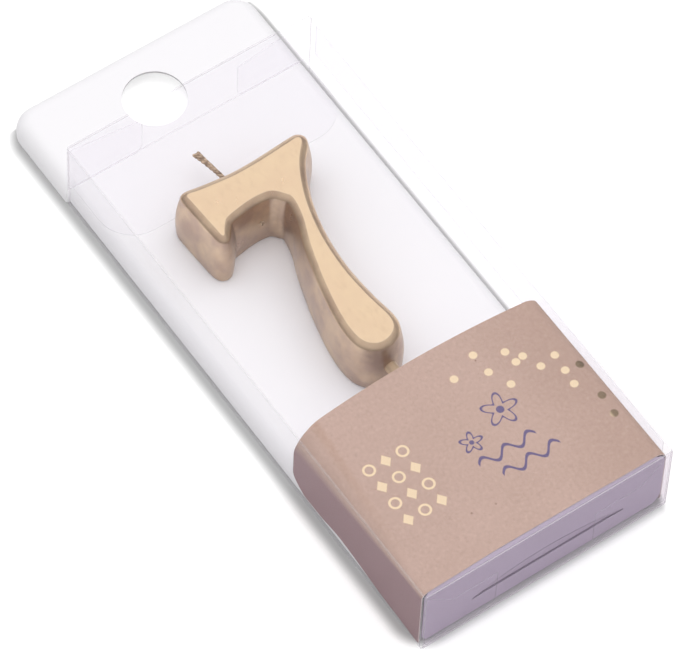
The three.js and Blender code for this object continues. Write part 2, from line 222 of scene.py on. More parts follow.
def add_softbox(name, place, size, power):
    bpy.ops.object.light_add(type="AREA", location=place)
    lamp = bpy.context.object
    lamp.name = name
    lamp.rotation_euler = (-Vector(place)).to_track_quat("-Z", "Y").to_euler()
    lamp.data.size = size
    lamp.data.energy = power
    lamp.visible_glossy = False
    return lamp


make_world()
right_box = add_softbox("right_softbox", (0.35, -0.15, 1.50), 1.2, 4.4)
left_box = add_softbox("left_softbox", (-0.35, 0.10, 1.50), 1.2, 3.8)
bpy.context.scene.view_settings.view_transform = "Standard"
bpy.context.scene.cycles.transparent_max_bounces = 40
print("Lamps of", round(right_box.data.energy, 1), "and", round(left_box.data.energy, 1), "W")

# %% [markdown]
# ## The clear film
# The case is folded from clear polyester sheet, 0.3 mm thick. What one sees of it is mostly a faint shine, thin
# lines at its folds and cut edges, and a very slight cool tint. A see-through shader mixed with a mirror shader
# makes the shine: the mirror's share is small when the sheet is faced and grows towards a grazing look, by
# Schlick's rule. The lines are a whitish diffuse colour, a painted reflection; at the foot they are stronger and
# the tint pinker, also painted reflection. Real refraction is left alone, because a sheet this thin doesn't bend
# what lies behind it.

# %% Clear film
case_half_width, case_half_depth = 33.0, 11.2


def film_finish(name, thin_axis, edge, tint=(0.993, 0.990, 0.995), tube=False):
    made, tree, shader, place = start_material(name)
    tree.nodes.remove(shader)
    path = node(tree, "LightPath", out="Is Shadow Ray").node
    lighting = maths(tree, "MAXIMUM", path.outputs["Is Shadow Ray"], path.outputs["Is Diffuse Ray"])
    seen = maths(tree, "SUBTRACT", 1.0, lighting)
    facing = node(tree, "LayerWeight", {"Blend": 0.5}, out="Facing")
    mirror = maths(tree, "ADD", 0.013, maths(tree, "MULTIPLY", maths(tree, "POWER", facing, 8.0), 0.5))
    ripple = noise_on(tree, place, 38, 1.0, 0.4)
    bump = node(tree, "Bump", {"Strength": 0.12, "Distance": 0.4 * MM, "Height": ripple})
    slanting = remap(tree, facing, 0.58, 0.70, 0.0, 1.0)
    passed = colours(tree, slanting, (*tint, 1), tuple(v * 0.955 for v in tint) + (1,))
    clear = node(tree, "BsdfTransparent", {"Color": colours(tree, lighting, passed, (1, 1, 1, 1))})
    shine = node(tree, "BsdfAnisotropic", {"Color": (0.96, 0.95, 0.98, 1), "Roughness": 0.06, "Normal": bump})
    sheet = node(tree, "MixShader", {0: maths(tree, "MULTIPLY", mirror, seen), 1: clear, 2: shine})
    normal = node(tree, "SeparateXYZ", {0: node(tree, "TexCoord", out="Normal")}).node
    flat = maths(tree, "ABSOLUTE", normal.outputs[thin_axis])
    if not tube:
        line = maths(tree, "MULTIPLY", maths(tree, "LESS_THAN", flat, 0.5), edge)
    else:
        x, z = in_mm(tree, place, ACROSS, UP)
        from_side = maths(tree, "SUBTRACT", case_half_width, maths(tree, "ABSOLUTE", x))
        from_middle = maths(tree, "ABSOLUTE", maths(tree, "SUBTRACT", z, case_half_depth))
        from_panel = maths(tree, "SUBTRACT", case_half_depth, from_middle)
        from_fold = maths(tree, "MAXIMUM", from_side, from_panel)
        fold = remap(tree, from_fold, 0.30, 0.55, 0.16, 0.0, "SMOOTHSTEP")
        line = maths(tree, "MAXIMUM", fold, maths(tree, "MULTIPLY", maths(tree, "GREATER_THAN", flat, 0.5), edge))
    # Painted reflection: a whitish diffuse colour along folds and cut edges.
    painted_edge_reflection = node(tree, "BsdfDiffuse", {"Color": (0.72, 0.69, 0.74, 1)})
    both = node(tree, "MixShader", {0: maths(tree, "MULTIPLY", line, seen), 1: sheet, 2: painted_edge_reflection})
    tree.links.new(both, tree.nodes["Material Output"].inputs["Surface"])
    return made


upright_film = film_finish("film_ends", ALONG, 0.20)
# At the foot the lines are stronger and the tint pinker, as painted reflection.
foot_film = film_finish("film_foot", ALONG, 0.45, (0.975, 0.955, 0.975))
flat_film = film_finish("film_tucks", UP, 0.20)
side_film = film_finish("film_glue_strip", ACROSS, 0.20, (0.980, 0.972, 0.990))
tube_film = film_finish("film_sleeve", ALONG, 0.35, tube=True)
kinds = {"case_sleeve": tube_film, "case_glue_flap": side_film, "bottom_lid_panel": foot_film}
film_nodes = [name for name in nodes if "flap" in name or "lid" in name or name == "case_sleeve"]
for name in film_nodes:
    dress(nodes[name], kinds.get(name, flat_film if "tuck" in name else upright_film))
print("Film on", len(film_nodes), "sheets")

# %% [markdown]
# ## A helper that draws out a solid
# Long pieces with one section, and pieces that change slowly along their length, are made as by hand: a circle is
# added, its points are set on the first outline, and the face is extruded once for each further outline.

# %% Draw a solid through outlines
def draw_out(name, rings):
    bpy.ops.object.select_all(action="DESELECT")
    bpy.ops.mesh.primitive_circle_add(vertices=len(rings[0]), fill_type="NGON")
    piece = bpy.context.object
    piece.name = name
    piece.data.name = name
    bpy.ops.object.mode_set(mode="EDIT")
    mesh = bmesh.from_edit_mesh(piece.data)
    mesh.verts.ensure_lookup_table()
    front = list(mesh.verts)
    for vert, point in zip(front, rings[0]):
        vert.co = point
    for ring in rings[1:]:
        order = {vert.co.to_tuple(): i for i, vert in enumerate(front)}
        bpy.ops.mesh.extrude_region()
        mesh = bmesh.from_edit_mesh(piece.data)
        front = sorted((v for v in mesh.verts if v.select), key=lambda v: order[v.co.to_tuple()])
        for vert, point in zip(front, ring):
            vert.co = point
    bpy.ops.mesh.select_all(action="SELECT")
    bpy.ops.mesh.normals_make_consistent(inside=False)
    bpy.ops.object.mode_set(mode="OBJECT")
    return piece


def smooth(piece, degrees=35):
    bpy.ops.object.select_all(action="DESELECT")
    piece.select_set(True)
    bpy.context.view_layer.objects.active = piece
    bpy.ops.object.shade_smooth_by_angle(angle=math.radians(degrees))


def apply_modifier(piece, kind, **settings):
    bpy.ops.object.select_all(action="DESELECT")
    piece.select_set(True)
    bpy.context.view_layer.objects.active = piece
    made = piece.modifiers.new(kind.lower(), kind)
    for name, value in settings.items():
        setattr(made, name, value)
    bpy.ops.object.modifier_apply(modifier=made.name)


def join_with(piece, other, operation):
    apply_modifier(piece, "BOOLEAN", object=other, operation=operation, solver="EXACT")
    bpy.data.objects.remove(other)


def put_in_place(piece, body, slot, *replaced):
    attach(piece, body)
    if replaced:
        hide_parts(*replaced)
    print(piece.name, "has", len(piece.data.polygons), "faces and rides on", body)


print("Ready to draw")

# %% [markdown]
# ## The numeral's outline
# The face is a seven with a flared hook, a hollow under its bar and a stem that swells into a rounded foot. Its
# outline is a chain of straight, rounded and freely curved stretches. It is sampled finely and evenly, so that the
# long curves of the stem shade without facets.

# %% Sample the numeral's outline
hook_side = [(-17.5, 55.1), (-16.9, 43.2)]
hook_tip = [(-16.8, 41.5), (-15.7, 42.2)]
inner_run = [(-13.9, 44.6), (-12.3, 45.7), (-6.6, 46.6), (-2.6, 46.5), (-0.6, 45.8), (0.9, 44.1), (1.9, 41.9),
             (0.8, 36.6), (-1.5, 30.8), (-3.3, 25.3), (-4.8, 20.1), (-6.5, 12.4), (-7.1, 6.6), (-6.5, 2.6),
             (-4.3, 0.3), (-1.4, 0), (1.4, 1.5), (2.5, 4.6), (1.7, 11.5), (1.2, 20), (1.9, 29), (3.6, 36.8),
             (6, 43.4), (9.2, 49.2), (12.3, 52.8)]
head_corner = [(13.9, 54.7), (12, 55.35)]
bar_top = [(7.1, 55), (0.8, 54.6), (-4.6, 54.6), (-9.1, 55), (-13.5, 55.6), (-16, 56.1)]
hook_corner = [(-17.6, 56.4), hook_side[0]]


def curve_through(points, steps=24):
    points = [Vector(p) for p in points]
    made = []
    for i in range(len(points) - 1):
        a, b = points[max(i - 1, 0)], points[i]
        c, d = points[i + 1], points[min(i + 2, len(points) - 1)]
        for k in range(1, steps + 1):
            t = k / steps
            made.append(0.5 * (2 * b + (c - a) * t + (2 * a - 5 * b + 4 * c - d) * t ** 2
                               + (3 * b - a - 3 * c + d) * t ** 3))
    return made


def rounded_turn(start, control, end, steps=24):
    start, control, end = Vector(start), Vector(control), Vector(end)
    shares = [k / steps for k in range(1, steps + 1)]
    return [start * (1 - t) ** 2 + control * 2 * t * (1 - t) + end * t ** 2 for t in shares]


def evenly_spaced(points, count):
    closed = points + [points[0]]
    reach = [0.0]
    for a, b in zip(closed, closed[1:]):
        reach.append(reach[-1] + (b - a).length)
    made, i = [], 0
    for k in range(count):
        want = reach[-1] * k / count
        while reach[i + 1] < want:
            i += 1
        share = (want - reach[i]) / max(reach[i + 1] - reach[i], 1e-9)
        made.append(closed[i].lerp(closed[i + 1], share))
    return made


outline = [Vector(p) for p in hook_side]
outline += rounded_turn(hook_side[1], *hook_tip)
outline += curve_through([hook_tip[1]] + inner_run)
outline += rounded_turn(inner_run[-1], *head_corner)
outline += curve_through([head_corner[1]] + bar_top)
outline += rounded_turn(bar_top[-1], *hook_corner)
outline = evenly_spaced(outline, 360)
print("Outline of", len(outline), "points,", round(max(p.y for p in outline), 1), "mm high")

# %% [markdown]
# ## The wax numeral
# The candle was cast in an open mould, so its back is flat and its sides draw in a little towards the face. The
# face is flat, and a soft slanting bevel a little under 2 mm wide leads over to the sides. The body is drawn out
# through outlines that grow and shrink from one shared outline. Where a tight corner can't shrink any further, its
# points are spread between their neighbours, so the bevel stays closed.

# %% Shape the numeral
wax_low, wax_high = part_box("candle_wax")
back_steps, side_steps, room_share = 4, 13, 0.96
face_round, draft, side_bulge, back_round, bevel_height = 1.2, 0.8, 0.6, 0.4, 1.45
bevel_steps = [(1.20, 1.45), (1.17, 1.28), (1.10, 1.12), (0.98, 0.96), (0.78, 0.76), (0.55, 0.57), (0.30, 0.38),
               (0.05, 0.22), (-0.12, 0.12), (-0.26, 0.05), (-0.38, 0.012), (-0.50, 0.0)]
numeral_foot = wax_low.y / MM + face_round + draft / 2 + side_bulge - min(p.y for p in outline)


def outward(points, spread=5):
    count = len(points)
    normals = []
    for i in range(count):
        along = points[(i + spread) % count] - points[(i - spread) % count]
        normals.append(Vector((along.y, -along.x)).normalized())
    return normals


normals = outward(outline)


def moved_outline(distance):
    moved = [p + n * distance for p, n in zip(outline, normals)]
    if distance >= 0:
        return moved
    count = len(moved)
    sound = [min((q - p).length for p in outline) >= -room_share * distance for q in moved]
    for i in range(count):
        if not sound[i]:
            before = next(k for k in range(1, count) if sound[(i - k) % count])
            after = next(k for k in range(1, count) if sound[(i + k) % count])
            start, end = moved[(i - before) % count], moved[(i + after) % count]
            moved[i] = start.lerp(end, before / (before + after))
            sound[i] = True
    return moved


def numeral_ring(distance, z):
    return [Vector((p.x * MM, (p.y + numeral_foot) * MM, z * MM)) for p in moved_outline(distance)]


def shape_numeral():
    low, high = wax_low.z / MM, wax_high.z / MM
    rings = []
    for k in range(back_steps + 1):
        turn = k / back_steps * math.pi / 2
        rings.append(numeral_ring(face_round + draft - back_round * (1 - math.sin(turn)),
                                  low + back_round * (1 - math.cos(turn))))
    side_low, side_high = low + back_round, high - bevel_height
    for k in range(1, side_steps):
        rise = k / side_steps
        rings.append(numeral_ring(face_round + draft * (1 - rise) + side_bulge * math.sin(rise * math.pi),
                                  side_low + rise * (side_high - side_low)))
    for distance, drop in bevel_steps:
        rings.append(numeral_ring(distance, high - drop))
    return draw_out("numeral_wax", rings)


numeral = shape_numeral()
smooth(numeral, 50)
print("Numeral reaches from", round(numeral_foot, 2), "mm")

# %% [markdown]
# ## Gold coat on the wax
# The wax carries a thin metallic coat. A colour ramp over the surface's upward lean paints it in bands: warm
# and bright on the flat face, browner and greyer on the sides and brown on the bevel between them, both painted
# shade, and a thin bright rim at the face, a painted highlight. The sides carry darker upright streaks, and the
# face is mottled and faintly brushed. The coat is a metal with a satin roughness that wanders a little, soft
# dents, and a few pinholes.

# %% Gold wax
def bands(tree, value, steps):
    ramp = node(tree, "ValToRGB", {0: value}).node.color_ramp
    for i, (place, colour) in enumerate(steps):
        stop = ramp.elements[i] if i < 2 else ramp.elements.new(place)
        stop.position, stop.color = place, (*colour, 1)
    return tree.nodes[-1].outputs[0]


def scattered(tree, place, scale, size, kept_above):
    cells = node(tree, "TexVoronoi", {"Vector": place, "Scale": scale}).node
    chosen = maths(tree, "GREATER_THAN", node(tree, "SeparateColor", {0: cells.outputs["Color"]}), kept_above)
    return maths(tree, "MULTIPLY", remap(tree, cells.outputs["Distance"], size * 0.6, size, 1.0, 0.0), chosen)


def gold_wax_finish():
    made, tree, shader, place = start_material("gold_wax")
    normal = node(tree, "TexCoord", out="Normal")
    up = node(tree, "SeparateXYZ", {0: normal}, out="Z")
    # Painted shade on the sides and bevel, and a painted highlight in the bright rim by the face.
    side, bevel, face, rim = (0.48, 0.345, 0.27), (0.57, 0.405, 0.28), (0.87, 0.655, 0.435), (0.92, 0.72, 0.50)
    coat = bands(tree, up, [(0.0, side), (1.0, face), (0.35, side), (0.60, bevel), (0.955, bevel), (0.99, rim),
                            (0.998, face)])
    upright = node(tree, "Mapping", {"Vector": place, "Scale": (1.0, 1.0, 0.02)})
    streaks = remap(tree, noise_on(tree, upright, 330, 2.0), 0.40, 0.66, 0.0, 0.20)
    on_sides = remap(tree, up, 0.30, 0.55, 1.0, 0.0, "SMOOTHSTEP")
    coat = colours(tree, maths(tree, "MULTIPLY", streaks, on_sides), coat, (0.34, 0.225, 0.175, 1))
    clouds = noise_on(tree, place, 160, 4.0)
    coat = colours(tree, remap(tree, clouds, 0.40, 0.66, 0.0, 0.34), coat, (1.0, 0.80, 0.52, 1))
    brushed = noise_on(tree, node(tree, "Mapping", {"Vector": place, "Scale": (1.0, 0.4, 1.0)}), 900, 3.0)
    coat = colours(tree, remap(tree, brushed, 0.52, 0.72, 0.0, 0.22), coat, (0.66, 0.46, 0.29, 1))
    pinhole = scattered(tree, place, 260, 0.045, 0.80)
    coat = colours(tree, pinhole, coat, (0.16, 0.11, 0.07, 1))
    dents = noise_on(tree, place, 420, 2.0, 0.5)
    waves = noise_on(tree, place, 95, 1.0, 0.4)
    height = maths(tree, "ADD", maths(tree, "MULTIPLY", dents, 0.12), waves)
    height = maths(tree, "SUBTRACT", height, pinhole)
    bump = node(tree, "Bump", {"Strength": 0.25, "Distance": 0.25 * MM, "Height": height})
    link(tree, shader, Base_Color=coat, Roughness=remap(tree, clouds, 0.3, 0.7, 0.27, 0.36), Normal=bump)
    shader.inputs["Metallic"].default_value = 0.9
    return made


dress(numeral, gold_wax_finish())
put_in_place(numeral, "candle", "gold_wax", "candle_wax")

# %% [markdown]
# ## The wick
# Three cotton strands are twisted together, tinted with the gold coat and pressed flat where they were cut. Each
# strand is a curve with a round section that winds about the wick's route. Towards the tip the strands part and
# the winding opens, which makes the flared end.

# %% Twist the wick
wick_low, wick_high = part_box("wick")
wick_x, wick_free = -4.5, 12.4
strand_count, strand_radius, strand_reach, strand_turns = 3, 0.33, 0.27, 7.5
flare_from, flare_run, flare_reach = 0.72, 0.28, 0.42


def wick_strand(name, turned):
    bottom = Vector((wick_x * MM, wick_low.y, (wick_low.z + wick_high.z) / 2))
    head = Vector((wick_x * MM, wick_high.y - wick_free * MM, bottom.z))
    tip = Vector((wick_low.x + 0.9 * MM, wick_high.y - 0.35 * MM, bottom.z))
    bend = Vector((head.x - 0.7 * MM, (head.y + tip.y) / 2, bottom.z))
    line = curve_through([bottom[:], ((bottom + head) / 2)[:], head[:], bend[:], tip[:]], 40)
    bpy.ops.object.select_all(action="DESELECT")
    curve = bpy.data.curves.new(name, "CURVE")
    curve.dimensions = "3D"
    curve.bevel_depth = strand_radius * MM
    curve.bevel_resolution = 3
    curve.use_fill_caps = True
    spline = curve.splines.new("POLY")
    spline.points.add(len(line) - 1)
    for i, point in enumerate(line):
        share = i / (len(line) - 1)
        flare = max(0.0, (share - flare_from) / flare_run)
        angle = turned + share * 2 * math.pi * strand_turns
        reach = (strand_reach + flare_reach * flare ** 1.5) * MM
        offset = Vector((math.cos(angle) * reach, 0, math.sin(angle) * reach * (1 - 0.7 * flare)))
        spline.points[i].co = (*(point + offset), 1)
        spline.points[i].radius = 1.0 + 0.10 * flare
    strand = bpy.data.objects.new(name, curve)
    bpy.context.scene.collection.objects.link(strand)
    strand.select_set(True)
    bpy.context.view_layer.objects.active = strand
    bpy.ops.object.convert(target="MESH")
    return strand


strands = [wick_strand(f"wick_strand_{i}", i * 2 * math.pi / strand_count) for i in range(strand_count)]
bpy.ops.object.select_all(action="DESELECT")
for strand in strands:
    strand.select_set(True)
bpy.context.view_layer.objects.active = strands[0]
bpy.ops.object.join()
wick = strands[0]
wick.name = "wick_twist"
bpy.ops.object.shade_smooth()
print("Wick ends at y =", round(max(v.co.y for v in wick.data.vertices) / MM, 1), "mm")

# %% Cotton of the wick
def wick_finish():
    made, tree, shader, place = start_material("wick_cotton")
    fibre = noise_on(tree, place, 1500, 3.0, 0.7)
    tint = colours(tree, remap(tree, fibre, 0.35, 0.65, 0.0, 1.0), (0.20, 0.12, 0.075, 1), (0.78, 0.60, 0.44, 1))
    bump = node(tree, "Bump", {"Strength": 0.8, "Distance": 0.08 * MM, "Height": fibre})
    link(tree, shader, Base_Color=tint, Normal=bump)
    shader.inputs["Roughness"].default_value = 0.62
    shader.inputs["Metallic"].default_value = 0.25
    return made


dress(wick, wick_finish())
put_in_place(wick, "candle", "wick_cotton", "wick")

# %% [markdown]
# ## The pick
# A moulded stick, 3 mm thick, is sunk in the numeral's foot and tapers where it goes into a cake. It is drawn out
# through circles along its length, with small rounds at both ends.

# %% Shape the pick
pick_low, pick_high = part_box("candle_pick")


def shape_pick():
    middle = (pick_low + pick_high) / 2
    radius = (pick_high.x - pick_low.x) / 2
    stations = [(0.0, 0.30), (0.12, 0.62), (0.4, 0.9), (2.0, 1.02), (4.2, 1.3), (6.0, radius / MM)]
    length = (pick_high.y - pick_low.y) / MM
    stations += [(length * k / 8, radius / MM) for k in range(2, 8)]
    stations += [(length - 0.5, radius / MM), (length - 0.15, radius / MM - 0.13), (length, radius / MM - 0.4)]
    rings = [[Vector((middle.x + math.cos(turn) * r * MM, pick_low.y + y * MM, middle.z + math.sin(turn) * r * MM))
              for turn in (2 * math.pi * i / 40 for i in range(40))] for y, r in stations]
    return draw_out("pick_stick", rings)


pick = shape_pick()
smooth(pick, 50)


def pick_finish():
    made, tree, shader, place = start_material("gold_pick")
    streaks = node(tree, "Mapping", {"Vector": place, "Scale": (1.0, 0.12, 1.0)})
    flow = noise_on(tree, streaks, 900, 2.0)
    link(tree, shader, Base_Color=colours(tree, flow, (0.52, 0.385, 0.25, 1), (0.62, 0.46, 0.31, 1)),
         Roughness=remap(tree, flow, 0.3, 0.7, 0.28, 0.42),
         Normal=node(tree, "Bump", {"Strength": 0.2, "Distance": 0.05 * MM, "Height": flow}))
    shader.inputs["Metallic"].default_value = 0.75
    return made


dress(pick, pick_finish())
put_in_place(pick, "candle", "gold_pick", "candle_pick")

# %% [markdown]
# ## The kraft band
# The pocket's front and sides are one strip of brown card, folded round the pick's hollow. Its folds are soft, and
# wider at the mouth, where the card springs open. The mouth's edge bows towards the numeral. The sides are tucked
# between the tray and the clear case: they have a round corner at the mouth, and their hem runs down to the table
# towards the foot. A flat grid is bent over the arch, its edges follow those curves, and it is then given the
# card's thickness.

# %% Shape the kraft band
band_low, band_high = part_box("kraft_band")
card, band_left, band_right = 0.3, -32.6, 32.45
left_fold, right_fold = (2.0, 5.5), (3.5, 0.5)
side_rows, front_rows = 12, 24


def between(x, places):
    for (x0, y0), (x1, y1) in zip(places, places[1:]):
        if x <= x1:
            share = min(1.0, max(0.0, (x - x0) / (x1 - x0)))
            share = share * share * (3 - 2 * share)
            return y0 + (y1 - y0) * share
    return places[-1][1]


def mouth_edge(x):
    return -30.7 - 1.55 * ((x + 0.5) / 30) ** 2


def foot_edge(x):
    return between(x, [(-32.6, -80.1), (-26, -79.95), (-12, -79.7), (6, -79.8), (27, -80.05), (33, -80.1)])


def hem_height(y):
    return between(y, [(-80.1, 0.45), (-68, 0.9), (-48, 2.9), (-38, 2.0), (-31.8, 1.9)])


def arch(left, right, hem, steps=14):
    low, high, top = band_left, band_right, band_high.z / MM
    points = [(low, hem + (top - left - hem) * k / side_rows) for k in range(side_rows)]
    for i in range(steps + 1):
        turn = math.pi - i / steps * math.pi / 2
        points.append((low + left + left * math.cos(turn), top - left + left * math.sin(turn)))
    points += [(low + left + (high - low - left - right) * k / front_rows, top) for k in range(1, front_rows)]
    for i in range(steps + 1):
        turn = math.pi / 2 - i / steps * math.pi / 2
        points.append((high - right + right * math.cos(turn), top - right + right * math.sin(turn)))
    return points + [(high, top - right + (hem - top + right) * k / side_rows) for k in range(1, side_rows + 1)]


def shape_band(stations=48):
    across = len(arch(left_fold[0], right_fold[0], 4.0)) - 1
    bpy.ops.object.select_all(action="DESELECT")
    bpy.ops.mesh.primitive_grid_add(x_subdivisions=across, y_subdivisions=stations, size=2)
    piece = bpy.context.object
    piece.name = "kraft_wrap"
    for vert in piece.data.vertices:
        i, share = round((vert.co.x + 1) / 2 * across), (vert.co.y + 1) / 2
        along = (band_low.y + (band_high.y - band_low.y) * share) / MM
        left = left_fold[0] + left_fold[1] * share ** 1.3
        right = right_fold[0] + right_fold[1] * share
        x, z = arch(left, right, hem_height(along))[i]
        front = min(1.0, max(0.0, (z - 16.5) / 4.0))
        foot = band_low.y / MM + (foot_edge(x) - band_low.y / MM) * front
        side_end = -32.4 - 4.6 * max(0.0, 1 - (z - 1.9) / 4.5) ** 2.2
        mouth = side_end + (mouth_edge(x) - side_end) * front
        sag = 0.10 * math.sin(share * math.pi) * math.cos(x / 32.3 * math.pi / 2) * front
        vert.co = Vector((x, foot + (mouth - foot) * share, z - sag)) * MM
    apply_modifier(piece, "SOLIDIFY", thickness=card * MM, offset=-1)
    return piece


band = shape_band()
smooth(band, 40)
print("Kraft band is", round((band_high.y - band_low.y) / MM, 1), "mm long")

# %% [markdown]
# ## Kraft card and its print
# Brown kraft card shows short fibres, cloudy tone and a few dark specks. Its cut edges are paler, partly the
# card's pale core and partly painted highlight. Painted shade makes the sides darker and more mauve, lays a
# darker band along the left fold that fades towards the foot, and darkens the front towards the right fold.
# Two inks are on it. Gold foil makes the confetti dots and a small block of diamonds and rings, and indigo makes
# two flowers and two wavy streamers. The foil is painted dark past the right fold, as shade where it turns away
# from the light. All of the print is drawn with distances on the piece's own coordinates, counted in
# millimetres, so it lies on the card without a picture.

# %% Shapes of the print
confetti = [(4.5, -39.8), (11.5, -37.1), (11.8, -42.5), (17.8, -40.3), (18.3, -43.7), (20.4, -43.3),
            (14.1, -47.7), (22.2, -47.6), (26.4, -47.0), (26.0, -51.4), (25.6, -55.3), (29.6, -51.9),
            (28.9, -61.0), (28.4, -66.2)]
block_left, block_low, block_wide, block_high, block_columns, block_rows = -26.3, -65.6, 13.2, 19.6, 3, 4
flowers = [(8.4, -51.6, 4.2), (-1.6, -55.0, 2.6)]
streamers = [(-3.6, 11.4, -60.6), (-0.6, 14.4, -65.4)]
streamer_waves, streamer_rise, streamer_thick = 2.5, 1.25, 0.42


def inside(tree, distance, limit, soft=0.12):
    return remap(tree, distance, limit - soft, limit + soft, 1.0, 0.0)


def dots(tree, flat, centres, radius):
    nearest = None
    for x, y in centres:
        away = node(tree, "VectorMath", {0: flat, 1: (x, y, 0)}, out="Value", operation="DISTANCE")
        nearest = away if nearest is None else maths(tree, "MINIMUM", nearest, away)
    return inside(tree, nearest, radius)


def within(tree, value, low, high):
    middle, half = (low + high) / 2, (high - low) / 2
    away = maths(tree, "ABSOLUTE", maths(tree, "SUBTRACT", value, middle))
    return inside(tree, away, half, 0.08)


def length_of(tree, u, v):
    squares = maths(tree, "ADD", maths(tree, "MULTIPLY", u, u), maths(tree, "MULTIPLY", v, v))
    return maths(tree, "SQRT", squares)


def foil_block(tree, x, y):
    cell_wide, cell_high = block_wide / block_columns, block_high / block_rows
    across = maths(tree, "DIVIDE", maths(tree, "SUBTRACT", x, block_left), cell_wide)
    along = maths(tree, "DIVIDE", maths(tree, "SUBTRACT", y, block_low), cell_high)
    u = maths(tree, "MULTIPLY", maths(tree, "SUBTRACT", maths(tree, "FRACT", across), 0.5), cell_wide)
    v = maths(tree, "MULTIPLY", maths(tree, "SUBTRACT", maths(tree, "FRACT", along), 0.5), cell_high)
    u, v = maths(tree, "ABSOLUTE", u), maths(tree, "ABSOLUTE", v)
    diamond = inside(tree, maths(tree, "ADD", u, maths(tree, "MULTIPLY", v, 0.8)), 1.35)
    from_ring = maths(tree, "ABSOLUTE", maths(tree, "SUBTRACT", length_of(tree, u, v), 1.25))
    ring = inside(tree, from_ring, 0.28, 0.08)
    cell = maths(tree, "ADD", maths(tree, "FLOOR", across), maths(tree, "FLOOR", along))
    odd = maths(tree, "GREATER_THAN", maths(tree, "FLOORED_MODULO", cell, 2.0), 0.5)
    shape = maths(tree, "ADD", maths(tree, "MULTIPLY", diamond, maths(tree, "SUBTRACT", 1.0, odd)),
                  maths(tree, "MULTIPLY", ring, odd))
    shape = maths(tree, "MULTIPLY", shape, within(tree, x, block_left, block_left + block_wide))
    return maths(tree, "MULTIPLY", shape, within(tree, y, block_low, block_low + block_high))


def streamer(tree, x, y, left, right, height):
    turns = 2 * math.pi * streamer_waves / (right - left)
    phase = maths(tree, "MULTIPLY", maths(tree, "SUBTRACT", x, left), turns)
    middle = maths(tree, "ADD", maths(tree, "MULTIPLY", maths(tree, "SINE", phase), streamer_rise), height)
    away = maths(tree, "ABSOLUTE", maths(tree, "SUBTRACT", y, middle))
    return maths(tree, "MULTIPLY", inside(tree, away, streamer_thick, 0.1), within(tree, x, left, right))


def flower(tree, x, y, centre_x, centre_y, reach):
    u, v = maths(tree, "SUBTRACT", x, centre_x), maths(tree, "SUBTRACT", y, centre_y)
    away = length_of(tree, u, v)
    turn = maths(tree, "MULTIPLY", maths(tree, "ARCTAN2", v, u), 5.0)
    petals = maths(tree, "ADD", maths(tree, "MULTIPLY", maths(tree, "COSINE", turn), 0.28), 0.72)
    rim = maths(tree, "MULTIPLY", petals, reach)
    line = inside(tree, maths(tree, "ABSOLUTE", maths(tree, "SUBTRACT", away, rim)), 0.30, 0.1)
    return maths(tree, "MAXIMUM", line, inside(tree, away, reach * 0.22, 0.1))


print(len(confetti), "confetti dots")

# %% Kraft card
fold_foot, fold_mouth = -72.0, -33.0
print_turns_dark = (27.0, 28.2)


